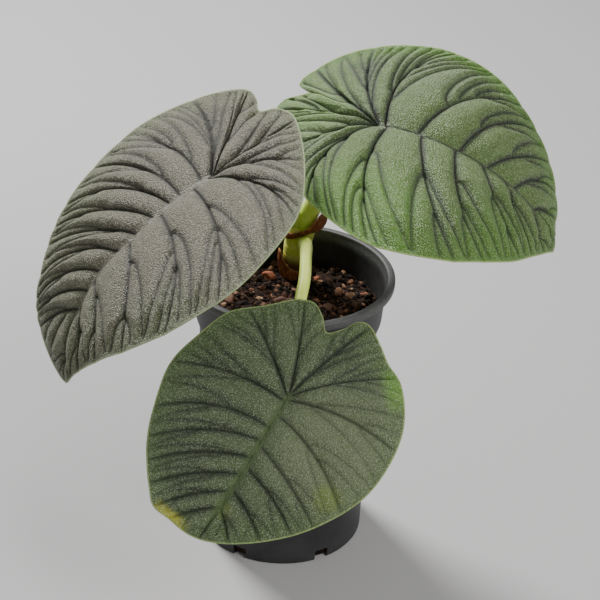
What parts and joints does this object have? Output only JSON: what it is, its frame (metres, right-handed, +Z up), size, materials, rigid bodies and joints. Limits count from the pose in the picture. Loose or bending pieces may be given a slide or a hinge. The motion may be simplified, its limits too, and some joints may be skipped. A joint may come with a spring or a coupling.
{
  "type": "potted alocasia plant",
  "caption": "Potted aroid house plant with quilted shield-shaped leaves on fleshy stalks, standing in a tall black nursery pot filled with gravelly potting mix.",
  "frame": {"origin": "centre of the pot's flat underside", "axes": "+Z up; the front leaf hangs toward -Y, the left leaf points to -X and the right leaf to +X"},
  "size_m": [0.2551, 0.2055, 0.2483],
  "materials": {
    "pot": "matte charcoal black, faintly scuffed",
    "mix": "loose dark fibre and bark with pale gravel",
    "stalk": "smooth and fleshy, yellow green",
    "dry_sheath": "dry and papery, red brown",
    "leaf_left": "thick and grained, silvery grey green",
    "leaf_right": "thick and grained, mid green",
    "leaf_front": "thick and grained, dark green"
  },
  "bodies": {
    "root": {"nursery_pot": "pot", "potting_mix": "mix", "stem": "stalk", "petiole_left": "stalk", "petiole_right": "stalk", "petiole_front": "stalk", "dry_sheath_upper": "dry_sheath", "dry_sheath_lower": "dry_sheath", "leaf_left": "leaf_left", "leaf_right": "leaf_right", "leaf_front": "leaf_front"}
  },
  "joints": []
}
